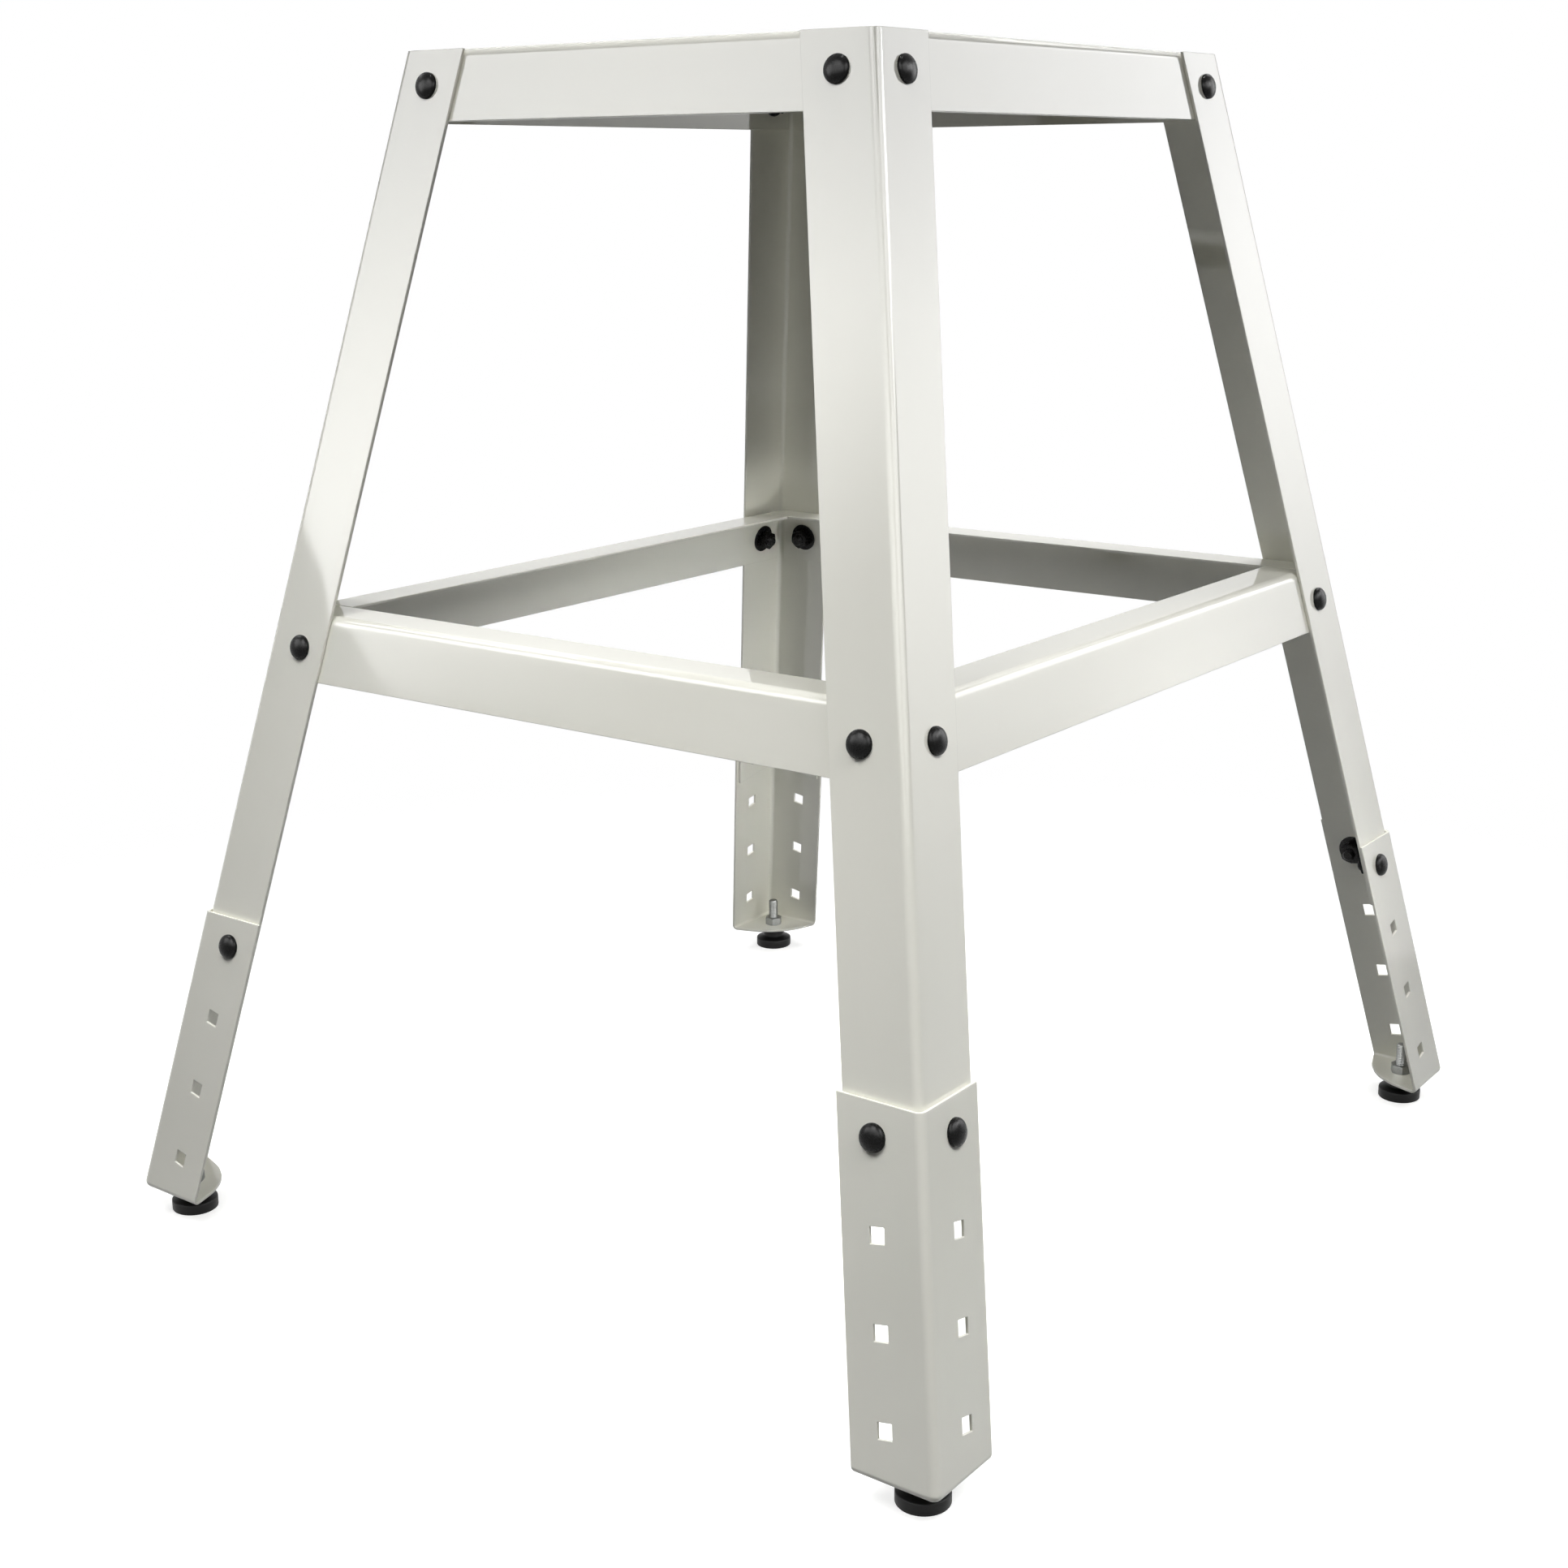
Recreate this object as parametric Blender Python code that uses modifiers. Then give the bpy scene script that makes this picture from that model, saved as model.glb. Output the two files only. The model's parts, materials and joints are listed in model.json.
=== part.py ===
"""Scroll saw stand: four splayed angle legs, tied by a top and a lower ring of rails.

Every leg is a bent sheet-steel angle. A longer-reaching angle wraps its foot and is bolted through one of
four square holes to set the height. Carriage bolts join the sheets, and levelling feet screw into a tab at
the bottom of each extension. Metres, +Z up, the floor at Z = 0 and the stand centred on the Z axis.
"""

import math

import bmesh
import bpy
from mathutils import Matrix, Vector

MM = 0.001

# Overall form, measured over the outer faces of the legs
TOP_WIDTH = 340.0 * MM
TOP_DEPTH = 388.0 * MM
HEIGHT = 736.5 * MM
SPLAY_X = math.radians(11.2)
SPLAY_Y = math.radians(11.8)

# Sheet steel
SHEET = 2.0 * MM
BEND_RADIUS = 5.0 * MM
BEND_SEGMENTS = 4
SHARP_ANGLE = math.radians(35)
CLEARANCE = 0.3 * MM

# Legs and their extensions
LEG_FLANGE = 47.5 * MM
LEG_TAIL = 22.0 * MM
EXTENSION_FLANGE = 52.0 * MM
EXTENSION_HEAD = 18.4 * MM
EXTENSION_BOLT_DROP = 547.5 * MM
HOLE_PITCH = 50.0 * MM
HOLE_COUNT = 4
TAB_RADIUS = 52.0 * MM
TAB_ARC_STEPS = 12

# Rails
RAIL_WEB = 41.0 * MM
RAIL_FLANGE = 30.0 * MM
RAIL_END_INSET = 8.0 * MM
SIDE_FLANGE_GAP = 7.0 * MM
LOWER_RAIL_DROP = 334.0 * MM
SAW_SLOT_LENGTH = 30.0 * MM
SAW_SLOT_WIDTH = 9.0 * MM
SAW_SLOT_END = 90.0 * MM

# Carriage bolts, each with its washer and nut
BOLT_INSET = 27.7 * MM
TOP_BOLT_INSET = 25.0 * MM
HEAD_DIAMETER = 15.6 * MM
HEAD_HEIGHT = 4.8 * MM
HEAD_RIM = 0.7 * MM
DOME_TILTS = (15, 40, 65)
NECK_WIDTH = 8.2 * MM
SHANK_DIAMETER = 8.0 * MM
SHANK_TIP = 3.0 * MM
WASHER_DIAMETER = 21.0 * MM
WASHER_THICKNESS = 1.6 * MM
NUT_FLATS = 13.0 * MM
NUT_HEIGHT = 6.5 * MM
RING_POINTS = 12

# Levelling feet
FOOT_INSET = 24.0 * MM
PAD_DIAMETER = 30.0 * MM
PAD_RIM = 7.0 * MM
PAD_SHOULDER = 9.0 * MM
PAD_EDGE = 0.8 * MM
BOSS_DIAMETER = 18.0 * MM
BOSS_TOP = 16.7 * MM
SOCKET_FLOOR = 4.0 * MM
STUD_REACH = 22.0 * MM
STUD_CHAMFER = 0.8 * MM
PAD_STEPS = 24
STUD_STEPS = 16

CORNERS = {"front_left": (-1, -1), "front_right": (1, -1), "rear_left": (-1, 1), "rear_right": (1, 1)}
FACES = {
    "front": Vector((0, -1, 0)),
    "rear": Vector((0, 1, 0)),
    "left": Vector((-1, 0, 0)),
    "right": Vector((1, 0, 0)),
}

TAB_BOTTOM = BOSS_TOP + CLEARANCE
TAB_TOP = TAB_BOTTOM + SHEET
GRIP = 2 * SHEET + CLEARANCE
HOLE_WIDTH = NECK_WIDTH + 2 * CLEARANCE
STUD_BORE = SHANK_DIAMETER + 2 * CLEARANCE
CUT_DEPTH = 6 * SHEET
RAIL_DEPTH = SHEET + CLEARANCE
EXTENSION_DEPTH = -(SHEET + CLEARANCE)


def new_collection(name):
    collection = bpy.data.collections.new(name)
    bpy.context.scene.collection.children.link(collection)
    return collection


def new_material(name, colour, roughness, metallic):
    material = bpy.data.materials.new(name)
    material.use_nodes = True
    shader = material.node_tree.nodes["Principled BSDF"]
    shader.inputs["Base Color"].default_value = (*colour, 1.0)
    shader.inputs["Roughness"].default_value = roughness
    shader.inputs["Metallic"].default_value = metallic
    return material


def new_object(name, mesh, collection, material=None):
    if material and not mesh.materials:
        mesh.materials.append(material)
    item = bpy.data.objects.new(name, mesh)
    collection.objects.link(item)
    return item


# The frame of the splayed faces

def face_x(z, depth=0.0):
    """Half width of the left and right faces at height z, at a depth square to the legs' outer faces."""
    return TOP_WIDTH / 2 + math.tan(SPLAY_X) * (HEIGHT - z) - depth / math.cos(SPLAY_X)


def face_y(z, depth=0.0):
    """Half depth of the front and rear faces at height z, likewise."""
    return TOP_DEPTH / 2 + math.tan(SPLAY_Y) * (HEIGHT - z) - depth / math.cos(SPLAY_Y)


def corner(signs, z, depth=0.0):
    return Vector((signs[0] * face_x(z, depth), signs[1] * face_y(z, depth), z))


def leg_axis(signs):
    """Unit vector up along a leg's corner line."""
    return (corner(signs, 1.0) - corner(signs, 0.0)).normalized()


def across(signs, axis_index):
    """Unit vector from the corner line to a flange's free edge, in the flange's face, square to the leg."""
    inward = Vector((0, 0, 0))
    inward[axis_index] = -signs[axis_index]
    up = leg_axis(signs)
    return (inward - up * inward.dot(up)).normalized()


def to_height(point, signs, z):
    """Slide a point along a leg to height z."""
    up = leg_axis(signs)
    return point + up * ((z - point.z) / up.z)


def face_normal(face):
    """Outward normal of a splayed face."""
    flat = FACES[face]
    splay = SPLAY_X if flat.x else SPLAY_Y
    return flat * math.cos(splay) + Vector((0, 0, math.sin(splay)))


def bolt_place(face, signs, z, inset, depth):
    """Turned frame on a face: Z out of the face and X along the leg. Inset is from the leg's outer corner."""
    axis_index = 1 if FACES[face].x else 0
    up = leg_axis(signs)
    out = face_normal(face)
    origin = to_height(corner(signs, z, depth) + across(signs, axis_index) * (inset - depth), signs, z)
    side = out.cross(up)
    return Matrix((up, side, out)).transposed().to_4x4(), origin


# Sheet-metal shapes

def bent_sheet(name, start, end, outside, material):
    """Sheet lofted from one end's profile to the other's, thickened inwards, with its bend rounded."""
    bm = bmesh.new()
    first = [bm.verts.new(p) for p in start]
    last = [bm.verts.new(p) for p in end]
    for a, b, c, d in zip(first, first[1:], last[1:], last):
        bm.faces.new((a, b, c, d))
    bm.normal_update()
    if bm.faces[:][0].normal.dot(outside) < 0:
        bmesh.ops.reverse_faces(bm, faces=bm.faces[:])
    mesh = bpy.data.meshes.new(name)
    bm.to_mesh(mesh)
    bm.free()
    sheet = new_object(name, mesh, PARTS, material)
    bend = sheet.modifiers.new("bend", "BEVEL")
    bend.limit_method = "ANGLE"
    bend.width = BEND_RADIUS
    bend.segments = BEND_SEGMENTS
    wall = sheet.modifiers.new("wall", "SOLIDIFY")
    wall.thickness = SHEET
    wall.offset = -1.0
    wall.use_even_offset = True
    return sheet


def cut(item, shapes):
    """Cut a list of (kind, matrix, size) shapes out of an object, as one cutter."""
    bm = bmesh.new()
    for kind, matrix, size in shapes:
        if kind == "box":
            bmesh.ops.create_cube(bm, size=1.0, matrix=matrix @ Matrix.Diagonal((*size, 1.0)))
        else:
            add_slot(bm, matrix, size)
    mesh = bpy.data.meshes.new(item.name + "_holes")
    bm.to_mesh(mesh)
    bm.free()
    cutter = new_object(item.name + "_holes", mesh, CUTTERS)
    cutter.hide_render = True
    cutter.display_type = "WIRE"
    holes = item.modifiers.new("holes", "BOOLEAN")
    holes.operation = "DIFFERENCE"
    holes.object = cutter


def add_slot(bm, matrix, size):
    """Round-ended prism along the matrix's X; with its length equal to its width it is a cylinder."""
    length, width, height = size
    radius = width / 2
    straight = (length - width) / 2
    outline = []
    for end in (1, -1):
        for k in range(STUD_STEPS // 2 + 1):
            turn = math.pi * k / (STUD_STEPS // 2) - end * math.pi / 2
            outline.append((end * straight + radius * math.cos(turn), radius * math.sin(turn)))
    if length - width < CLEARANCE:
        outline = outline[:STUD_STEPS // 2] + outline[STUD_STEPS // 2 + 1:-1]
    base = [bm.verts.new(matrix @ Vector((x, y, -height / 2))) for x, y in outline]
    face = bm.faces.new(base)
    grown = bmesh.ops.extrude_face_region(bm, geom=[face])
    moved = [v for v in grown["geom"] if isinstance(v, bmesh.types.BMVert)]
    lift = matrix.to_3x3() @ Vector((0, 0, height))
    bmesh.ops.translate(bm, verts=moved, vec=lift)
    bmesh.ops.recalc_face_normals(bm, faces=bm.faces[:])


def square_hole(face, signs, z, inset, depth):
    turn, origin = bolt_place(face, signs, z, inset, depth)
    return "box", Matrix.Translation(origin) @ turn, (HOLE_WIDTH, HOLE_WIDTH, CUT_DEPTH)


def corner_faces(name):
    """The two faces that meet at a corner, such as front and left."""
    return name.split("_")


# Heights along the stand

RAIL_TOPS = {"top": HEIGHT, "lower": HEIGHT - LOWER_RAIL_DROP}
EXTENSION_BOLT_Z = HEIGHT - EXTENSION_BOLT_DROP


def hole_drop():
    """Height between two of an extension's holes: their pitch is laid out along the leg."""
    return HOLE_PITCH * leg_axis(CORNERS["front_left"]).z


BOLT_LEVELS = {
    "top": (RAIL_TOPS["top"] - RAIL_WEB / 2, TOP_BOLT_INSET, 0.0),
    "lower": (RAIL_TOPS["lower"] - RAIL_WEB / 2, BOLT_INSET, 0.0),
    "extension": (EXTENSION_BOLT_Z, BOLT_INSET, EXTENSION_DEPTH),
}


def make_leg(name, signs):
    """Angle leg: level at the top, cut square to its length at the bottom."""
    flanges = [across(signs, 0) * LEG_FLANGE, Vector((0, 0, 0)), across(signs, 1) * LEG_FLANGE]
    top = [to_height(corner(signs, HEIGHT) + f, signs, HEIGHT) for f in flanges]
    bolt_point = corner(signs, EXTENSION_BOLT_Z) + across(signs, 0) * BOLT_INSET
    below = to_height(bolt_point, signs, EXTENSION_BOLT_Z) - leg_axis(signs) * LEG_TAIL
    tail = below - across(signs, 0) * BOLT_INSET
    bottom = [tail + f for f in flanges]
    front_or_rear = face_normal(corner_faces(name)[0])
    leg = bent_sheet("leg_" + name, top, bottom, front_or_rear, PAINT)
    shapes = []
    for face in corner_faces(name):
        for place in BOLT_LEVELS.values():
            shapes.append(square_hole(face, signs, *place))
    cut(leg, shapes)


def make_extension(name, signs):
    """Angle that wraps the leg, level at both ends, with a quarter-round foot tab joined in at the bottom."""
    depth = EXTENSION_DEPTH
    flanges = [across(signs, 0) * EXTENSION_FLANGE, Vector((0, 0, 0)), across(signs, 1) * EXTENSION_FLANGE]
    ends = []
    for z in (EXTENSION_BOLT_Z + EXTENSION_HEAD, TAB_BOTTOM):
        ends.append([to_height(corner(signs, z, depth) + f, signs, z) for f in flanges])
    front_or_rear = face_normal(corner_faces(name)[0])
    extension = bent_sheet("leg_extension_" + name, ends[0], ends[1], front_or_rear, PAINT)
    join_tab(extension, signs)
    shapes = []
    for face in corner_faces(name):
        for k in range(HOLE_COUNT):
            shapes.append(square_hole(face, signs, EXTENSION_BOLT_Z - k * hole_drop(), BOLT_INSET, depth))
    through_tab = Matrix.Translation(foot_centre(signs, TAB_BOTTOM + SHEET / 2))
    shapes.append(("slot", through_tab, (STUD_BORE, STUD_BORE, CUT_DEPTH)))
    cut(extension, shapes)


def foot_centre(signs, z):
    """Point at height z on a foot's axis, set in from the extension's outer faces at its tab."""
    outside = corner(signs, TAB_BOTTOM, EXTENSION_DEPTH)
    return Vector((outside.x - signs[0] * FOOT_INSET, outside.y - signs[1] * FOOT_INSET, z))


def join_tab(extension, signs):
    """Union a level quarter disc into the angle: its straight sides end inside the flanges' metal."""
    outside = corner(signs, TAB_BOTTOM, EXTENSION_DEPTH)
    near = SHEET / 2
    cut_back = BEND_RADIUS - SHEET / 2
    outline = [(near, cut_back), (cut_back, near)]
    start = math.asin(near / TAB_RADIUS)
    for k in range(TAB_ARC_STEPS + 1):
        turn = start + (math.pi / 2 - 2 * start) * k / TAB_ARC_STEPS
        outline.append((TAB_RADIUS * math.cos(turn), TAB_RADIUS * math.sin(turn)))
    bm = bmesh.new()
    base = []
    for u, v in outline:
        base.append(bm.verts.new((outside.x - signs[0] * u, outside.y - signs[1] * v, TAB_BOTTOM)))
    face = bm.faces.new(base)
    grown = bmesh.ops.extrude_face_region(bm, geom=[face])
    raised = [v for v in grown["geom"] if isinstance(v, bmesh.types.BMVert)]
    bmesh.ops.translate(bm, verts=raised, vec=(0, 0, SHEET))
    bmesh.ops.recalc_face_normals(bm, faces=bm.faces[:])
    mesh = bpy.data.meshes.new(extension.name + "_tab")
    bm.to_mesh(mesh)
    bm.free()
    tab = new_object(extension.name + "_tab", mesh, CUTTERS)
    tab.hide_render = True
    tab.display_type = "WIRE"
    weld = extension.modifiers.new("tab", "BOOLEAN")
    weld.operation = "UNION"
    weld.object = tab


def make_rail(level, face):
    """Rail: a web inside two legs' flanges, with a level flange turned inwards along its top."""
    top = RAIL_TOPS[level]
    out = FACES[face]
    along_x = out.x == 0
    span = face_x if along_x else face_y
    reach = face_y if along_x else face_x
    side = out.y if along_x else out.x

    def point(end, z, inward):
        run = end * (span(z) - RAIL_END_INSET)
        away = side * (reach(z, RAIL_DEPTH) - inward)
        return Vector((run, away, z)) if along_x else Vector((away, run, z))

    ends = []
    for end in (-1, 1):
        ends.append([point(end, top - RAIL_WEB, 0.0), point(end, top, 0.0), point(end, top, RAIL_FLANGE)])
    rail = bent_sheet(f"{level}_rail_{face}", ends[0], ends[1], face_normal(face), PAINT)
    shapes = []
    for name, signs in CORNERS.items():
        if face in corner_faces(name):
            shapes.append(square_hole(face, signs, *BOLT_LEVELS[level]))
    if not along_x:
        shapes += flange_notches(side, top)
        if level == "top":
            shapes += saw_slots(side, top)
    cut(rail, shapes)


def flange_notches(side, top):
    """A side rail's flange stops short of the front and rear ones; only its web runs on to the corner."""
    stop = face_y(top, RAIL_DEPTH) - RAIL_FLANGE - SIDE_FLANGE_GAP
    length = face_y(top) - stop
    notches = []
    for end in (-1, 1):
        centre = Vector((side * face_x(top), end * (stop + length / 2), top))
        size = (4 * RAIL_FLANGE, length, 2 * (BEND_RADIUS + SHEET))
        notches.append(("box", Matrix.Translation(centre), size))
    return notches


def saw_slots(side, top):
    """Two slots for the saw's bolts along a top side rail's flange."""
    offset = side * (face_x(top, RAIL_DEPTH) - (RAIL_FLANGE + BEND_RADIUS) / 2)
    slots = []
    for end in (-1, 1):
        centre = Vector((offset, end * (face_y(top) - SAW_SLOT_END), top))
        matrix = Matrix.Translation(centre) @ Matrix.Rotation(math.pi / 2, 4, "Z")
        slots.append(("slot", matrix, (SAW_SLOT_LENGTH, SAW_SLOT_WIDTH, CUT_DEPTH)))
    return slots


# Fasteners, as stacked rings of points

def round_ring(radius, z):
    turns = [2 * math.pi * k / RING_POINTS for k in range(RING_POINTS)]
    return [Vector((radius * math.cos(t), radius * math.sin(t), z)) for t in turns]


def square_ring(width, z):
    """Square turned so that its corners fall on points of the ring."""
    turns = [2 * math.pi * k / RING_POINTS for k in range(RING_POINTS)]
    reach = width / math.sqrt(2)
    spans = [reach / (abs(math.cos(t)) + abs(math.sin(t))) for t in turns]
    return [Vector((s * math.cos(t), s * math.sin(t), z)) for s, t in zip(spans, turns)]


def hex_ring(flats, z):
    """Hexagon with its corners on every second point of the ring."""
    inner = round_ring(flats / 2, z)
    outer = round_ring(flats / 2 / math.cos(math.pi / 6), z)
    return [inner[k] if k % 2 else outer[k] for k in range(RING_POINTS)]


def stacked(name, rings, closed, material):
    """Mesh through a stack of rings: capped at both ends, or joined end to end as a tube."""
    bm = bmesh.new()
    rows = [[bm.verts.new(p) for p in ring] for ring in rings]
    pairs = list(zip(rows, rows[1:]))
    if closed:
        pairs.append((rows[-1], rows[0]))
    else:
        bm.faces.new(rows[0])
        bm.faces.new(rows[-1][::-1])
    for upper, lower in pairs:
        for k in range(RING_POINTS):
            following = (k + 1) % RING_POINTS
            bm.faces.new((upper[k], lower[k], lower[following], upper[following]))
    bmesh.ops.recalc_face_normals(bm, faces=bm.faces[:])
    mesh = bpy.data.meshes.new(name)
    bm.to_mesh(mesh)
    bm.free()
    mesh.materials.append(material)
    mesh.shade_smooth()
    mesh.set_sharp_from_angle(angle=SHARP_ANGLE)
    return mesh


def carriage_bolt_mesh():
    """Domed head outside the sheets, square neck through them, then washer, nut and the bolt's tip inside."""
    head = HEAD_DIAMETER / 2
    under = CLEARANCE
    inner = -(GRIP + CLEARANCE)
    washer_end = inner - WASHER_THICKNESS
    nut_end = washer_end - NUT_HEIGHT
    dome = HEAD_HEIGHT - HEAD_RIM
    rings = []
    for tilt in DOME_TILTS:
        angle = math.radians(tilt)
        rings.append(round_ring(head * math.sin(angle), under + HEAD_RIM + dome * math.cos(angle)))
    rings += [
        round_ring(head, under + HEAD_RIM),
        round_ring(head, under),
        square_ring(NECK_WIDTH, under),
        square_ring(NECK_WIDTH, inner),
        round_ring(WASHER_DIAMETER / 2, inner),
        round_ring(WASHER_DIAMETER / 2, washer_end),
        hex_ring(NUT_FLATS, washer_end),
        hex_ring(NUT_FLATS, nut_end),
        round_ring(SHANK_DIAMETER / 2, nut_end),
        round_ring(SHANK_DIAMETER / 2, nut_end - SHANK_TIP),
    ]
    return stacked("carriage_bolt", rings, False, BLACK_STEEL)


def place_bolts(mesh):
    """One bolt in each flange at each level; the square neck lies along the leg."""
    quarter = Matrix.Rotation(math.pi / 4, 4, "Z")
    for level, place in BOLT_LEVELS.items():
        for name, signs in CORNERS.items():
            pair = corner_faces(name)
            for face, end in (pair, pair[::-1]):
                turn, origin = bolt_place(face, signs, *place)
                bolt = new_object(f"{level}_bolt_{face}_{end}", mesh, PARTS)
                bolt.matrix_world = Matrix.Translation(origin) @ turn @ quarter


# Levelling feet

def turned(name, profile, steps, material):
    """Body of revolution about Z from a profile of (radius, height) points that runs down its outer side."""
    mesh = bpy.data.meshes.new(name)
    mesh.from_pydata([(r, 0, z) for r, z in profile], [(k, k + 1) for k in range(len(profile) - 1)], [])
    mesh.materials.append(material)
    body = new_object(name, mesh, PARTS)
    spin = body.modifiers.new("turn", "SCREW")
    spin.axis = "Z"
    spin.steps = steps
    spin.render_steps = steps
    spin.use_merge_vertices = True
    spin.merge_threshold = 0.00001
    spin.use_smooth_shade = True
    return body


def make_foot(name, signs, nut_mesh):
    """Foot pad with a socket, the stud that turns in it, and the nut that holds the stud to the tab."""
    base = foot_centre(signs, 0.0)
    socket = SHANK_DIAMETER / 2 + CLEARANCE
    pad = PAD_DIAMETER / 2
    boss = BOSS_DIAMETER / 2
    pad_profile = [
        (0, SOCKET_FLOOR), (socket, SOCKET_FLOOR), (socket, BOSS_TOP), (boss, BOSS_TOP), (boss, PAD_SHOULDER),
        (pad - PAD_EDGE, PAD_RIM), (pad, PAD_RIM - PAD_EDGE), (pad, PAD_EDGE), (pad - PAD_EDGE, 0), (0, 0),
    ]
    stud = SHANK_DIAMETER / 2
    tip = TAB_TOP + STUD_REACH
    foot = SOCKET_FLOOR + CLEARANCE
    stud_profile = [(0, tip), (stud - STUD_CHAMFER, tip), (stud, tip - STUD_CHAMFER), (stud, foot), (0, foot)]
    turned("foot_pad_" + name, pad_profile, PAD_STEPS, BLACK_PLASTIC).location = base
    turned("foot_stud_" + name, stud_profile, STUD_STEPS, ZINC).location = base
    new_object("foot_nut_" + name, nut_mesh, PARTS).location = foot_centre(signs, TAB_TOP + CLEARANCE)


def foot_nut_mesh():
    """Hexagon nut with a plain bore that clears the stud."""
    bore = STUD_BORE / 2
    outside = [hex_ring(NUT_FLATS, NUT_HEIGHT), hex_ring(NUT_FLATS, 0)]
    rings = outside + [round_ring(bore, 0), round_ring(bore, NUT_HEIGHT)]
    return stacked("foot_nut", rings, True, ZINC)


def clear_scene():
    for item in list(bpy.data.objects):
        bpy.data.objects.remove(item)


clear_scene()
PARTS = new_collection("scroll_saw_stand")
CUTTERS = new_collection("cutters")
PAINT = new_material("warm white powder coat", (0.76, 0.76, 0.72), 0.3, 0.0)
BLACK_STEEL = new_material("black oxide steel", (0.012, 0.012, 0.011), 0.3, 0.6)
ZINC = new_material("zinc plated steel", (0.55, 0.55, 0.54), 0.35, 1.0)
BLACK_PLASTIC = new_material("black moulded plastic", (0.008, 0.008, 0.008), 0.5, 0.0)

FOOT_NUT = foot_nut_mesh()
for corner_name, corner_signs in CORNERS.items():
    make_leg(corner_name, corner_signs)
    make_extension(corner_name, corner_signs)
    make_foot(corner_name, corner_signs, FOOT_NUT)
for rail_level in RAIL_TOPS:
    for rail_face in FACES:
        make_rail(rail_level, rail_face)
place_bolts(carriage_bolt_mesh())
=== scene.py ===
# %% [markdown]
# # A scroll saw stand in painted sheet steel
# The stand is four splayed angle legs, two rings of rails, bolt-on leg extensions and levelling feet. The
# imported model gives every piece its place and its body. This lesson dresses each of those plain solids:
# bent sheets get round bends and softened edges, bolts get domes and threads, and every finish gets its
# own material.

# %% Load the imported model
import json
import math

import bpy
import numpy as np
from mathutils import Matrix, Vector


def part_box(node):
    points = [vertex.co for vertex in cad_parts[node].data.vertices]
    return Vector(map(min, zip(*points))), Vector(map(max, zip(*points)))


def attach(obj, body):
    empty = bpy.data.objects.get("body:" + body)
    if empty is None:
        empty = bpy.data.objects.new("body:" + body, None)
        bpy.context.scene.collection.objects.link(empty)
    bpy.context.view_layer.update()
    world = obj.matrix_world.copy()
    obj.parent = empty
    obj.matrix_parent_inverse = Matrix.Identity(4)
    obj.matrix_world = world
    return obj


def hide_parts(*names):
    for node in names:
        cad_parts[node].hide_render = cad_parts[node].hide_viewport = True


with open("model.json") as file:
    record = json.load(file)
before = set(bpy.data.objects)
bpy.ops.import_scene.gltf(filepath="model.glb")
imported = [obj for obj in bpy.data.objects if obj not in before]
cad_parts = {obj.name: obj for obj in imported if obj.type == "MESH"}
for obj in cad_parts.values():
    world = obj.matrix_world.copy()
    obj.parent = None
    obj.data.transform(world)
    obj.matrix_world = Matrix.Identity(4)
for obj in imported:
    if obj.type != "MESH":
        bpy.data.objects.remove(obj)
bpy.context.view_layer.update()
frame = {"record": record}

MM = 0.001

# %% [markdown]
# ## Which body and which finish
# The record says which nodes move together and which finish each node wears. Looking both up, rather than
# typing them again, keeps the dressing in step with the solids. One function then puts a mesh in the
# scene as the piece that stands for a node. Its place is in its mesh, so the object itself stays at the
# origin.

# %% Put a piece in place of a node
record = frame["record"]
BODY_OF = {node: body for body, nodes in record["behaviour"]["bodies"].items() for node in nodes}
SLOT_OF = {part["node"]: part["material_slot"] for part in record["subparts"]}


def dress(prefix, node, mesh, finishes):
    """Make the mesh a piece that replaces the node, rides on its body and wears the finish of its slot."""
    piece = bpy.data.objects.new(f"{prefix}_{node}", mesh)
    bpy.context.scene.collection.objects.link(piece)
    mesh.materials.append(finishes[SLOT_OF[node]])
    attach(piece, BODY_OF[node])
    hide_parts(node)
    return piece


def misfit(piece, node):
    """Largest distance in mm between the finished piece's box and its node's box."""
    bpy.context.view_layer.update()
    done = piece.evaluated_get(bpy.context.evaluated_depsgraph_get())
    corners = np.array([corner[:] for corner in done.bound_box])
    low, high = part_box(node)
    gaps = np.abs(np.vstack((corners.min(axis=0) - low, corners.max(axis=0) - high)))
    return round(float(gaps.max()) / MM, 2)


# %% [markdown]
# ## The leaning frame
# All four sides lean inwards towards the top, so a leg leans two ways at once. Every place on the stand
# follows from the top's size, the height and the two angles: the corner line of a leg, its direction, and
# the direction from that line to a flange's free edge. Only driving sizes are typed here.

# %% Driving sizes
TOP = np.array((340.0, 388.0)) * MM
HEIGHT = 736.5 * MM
SPLAY = np.radians((11.2, 11.8))
SHEET = 2.0 * MM
CLEARANCE = 0.3 * MM
BEND = 5.0 * MM
LEG_FLANGE = 47.5 * MM
LOWER_RAIL_DROP = 334.0 * MM
RAIL_WEB = 41.0 * MM
EXTENSION_BOLT_DROP = 547.5 * MM
BOLT_INSET = 27.7 * MM
TOP_BOLT_INSET = 25.0 * MM
HOLE = 8.8 * MM
OUTSIDE = -(SHEET + CLEARANCE)
INSIDE = SHEET + CLEARANCE
CORNERS = {"front_left": (-1, -1), "front_right": (1, -1), "rear_left": (-1, 1), "rear_right": (1, 1)}
FACES = {"front": (0, -1), "rear": (0, 1), "left": (-1, 0), "right": (1, 0)}
RAIL_TOPS = {"top": HEIGHT, "lower": HEIGHT - LOWER_RAIL_DROP}
EXTENSION_BOLT_Z = HEIGHT - EXTENSION_BOLT_DROP

# %% Places and directions on the leaning frame


def half_span(axis, z, depth=0.0):
    """Half width (axis 0) or half depth (axis 1): half the top plus slope times drop, less the depth."""
    return TOP[axis] / 2 + np.tan(SPLAY[axis]) * (HEIGHT - z) - depth / np.cos(SPLAY[axis])


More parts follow.
